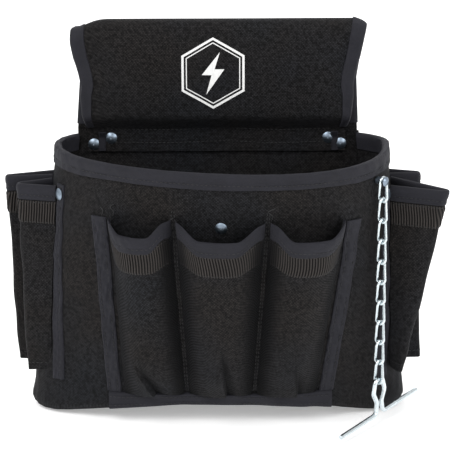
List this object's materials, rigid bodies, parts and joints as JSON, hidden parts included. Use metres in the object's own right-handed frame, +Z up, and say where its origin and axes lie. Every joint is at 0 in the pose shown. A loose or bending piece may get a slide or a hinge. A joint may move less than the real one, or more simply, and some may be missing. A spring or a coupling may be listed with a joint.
{
  "type": "electrician tool pouch",
  "caption": "Open-top fabric tool pouch with belt tunnel, front and side tool pockets, rivets, and a tape chain with T-bar",
  "frame": {"origin": "centre of the belt tunnel's slot, midway between its sheets and its ends", "axes": "+X to the right seen from the front and along the belt, +Y to the wearer's body, +Z up"},
  "size_m": [0.3547, 0.1392, 0.317],
  "materials": {
    "woven_nylon": "coarse plain weave, matt",
    "binding_tape": "fine tape weave, slight sheen",
    "ribbed_band": "ribbed webbing, matt",
    "zinc_rivet": "zinc plated, slightly dull",
    "zinc_chain": "bright zinc plate"
  },
  "bodies": {
    "pouch": {"back_binding_left": "binding_tape", "back_binding_right": "binding_tape", "back_panel": "woven_nylon", "back_rivets": "zinc_rivet", "belt_tunnel": "woven_nylon", "bottom_panel": "woven_nylon", "chain_rivet": "zinc_rivet", "chain_spacer": "zinc_rivet", "front_pocket_centre": "woven_nylon", "front_pocket_centre_band": "ribbed_band", "front_pocket_centre_binding": "binding_tape", "front_pocket_left": "woven_nylon", "front_pocket_left_band": "ribbed_band", "front_pocket_left_binding": "binding_tape", "front_pocket_right": "woven_nylon", "front_pocket_right_band": "ribbed_band", "front_pocket_right_binding": "binding_tape", "front_rivet": "zinc_rivet", "main_body": "woven_nylon", "panel_binding_bottom": "binding_tape", "panel_binding_left": "binding_tape", "panel_binding_right": "binding_tape", "rim_binding": "binding_tape", "rivet_burrs": "zinc_rivet", "sheath_left_front": "woven_nylon", "sheath_left_front_band": "ribbed_band", "sheath_left_front_binding": "binding_tape", "sheath_left_front_seam": "binding_tape", "sheath_left_rear": "woven_nylon", "sheath_left_rear_band": "ribbed_band", "sheath_left_rear_binding": "binding_tape", "sheath_right_front": "woven_nylon", "sheath_right_front_band": "ribbed_band", "sheath_right_front_binding": "binding_tape", "sheath_right_front_seam": "binding_tape", "sheath_right_rear": "woven_nylon", "sheath_right_rear_band": "ribbed_band", "sheath_right_rear_binding": "binding_tape", "sheath_rivets": "zinc_rivet", "tunnel_binding_left": "binding_tape", "tunnel_binding_right": "binding_tape"},
    "link_1": {"chain_link_1": "zinc_chain"},
    "link_2": {"chain_link_2": "zinc_chain"},
    "link_3": {"chain_link_3": "zinc_chain"},
    "link_4": {"chain_link_4": "zinc_chain"},
    "link_5": {"chain_link_5": "zinc_chain"},
    "link_6": {"chain_link_6": "zinc_chain"},
    "link_7": {"chain_link_7": "zinc_chain"},
    "link_8": {"chain_link_8": "zinc_chain"},
    "link_9": {"chain_link_9": "zinc_chain"},
    "link_10": {"chain_link_10": "zinc_chain"},
    "bar": {"tape_bar": "zinc_chain"}
  },
  "joints": [
    {"name": "link_1_swing", "type": "hinge", "parent": "pouch", "child": "link_1", "pos_m": [0.1255, -0.077, -0.06535], "axis": [-0.766, 0.6428, 0], "range_deg": [0, 25]},
    {"name": "link_2_swing", "type": "hinge", "parent": "link_1", "child": "link_2", "pos_m": [0.1255, -0.077, -0.0794], "axis": [-0.6428, -0.766, 0], "range_deg": [0, 20]},
    {"name": "link_3_swing", "type": "hinge", "parent": "link_2", "child": "link_3", "pos_m": [0.1255, -0.077, -0.0991], "axis": [-0.766, 0.6428, 0], "range_deg": [0, 20]},
    {"name": "link_4_swing", "type": "hinge", "parent": "link_3", "child": "link_4", "pos_m": [0.1255, -0.077, -0.1132], "axis": [-0.6428, -0.766, 0], "range_deg": [0, 20]},
    {"name": "link_5_swing", "type": "hinge", "parent": "link_4", "child": "link_5", "pos_m": [0.1255, -0.077, -0.1329], "axis": [-0.766, 0.6428, 0], "range_deg": [0, 20]},
    {"name": "link_6_swing", "type": "hinge", "parent": "link_5", "child": "link_6", "pos_m": [0.1255, -0.077, -0.147], "axis": [-0.6428, -0.766, 0], "range_deg": [0, 20]},
    {"name": "link_7_swing", "type": "hinge", "parent": "link_6", "child": "link_7", "pos_m": [0.1255, -0.077, -0.1667], "axis": [-0.766, 0.6428, 0], "range_deg": [0, 20]},
    {"name": "link_8_swing", "type": "hinge", "parent": "link_7", "child": "link_8", "pos_m": [0.1255, -0.077, -0.1808], "axis": [-0.6428, -0.766, 0], "range_deg": [0, 20]},
    {"name": "link_9_swing", "type": "hinge", "parent": "link_8", "child": "link_9", "pos_m": [0.1255, -0.077, -0.2005], "axis": [-0.766, 0.6428, 0], "range_deg": [0, 20]},
    {"name": "link_10_swing", "type": "hinge", "parent": "link_9", "child": "link_10", "pos_m": [0.1255, -0.077, -0.2146], "axis": [-0.6428, -0.766, 0], "range_deg": [0, 20]},
    {"name": "bar_rock", "type": "hinge", "parent": "link_10", "child": "bar", "pos_m": [0.1255, -0.077, -0.2343], "axis": [-0.766, 0.6428, 0], "range_deg": [-10, 12]}
  ]
}
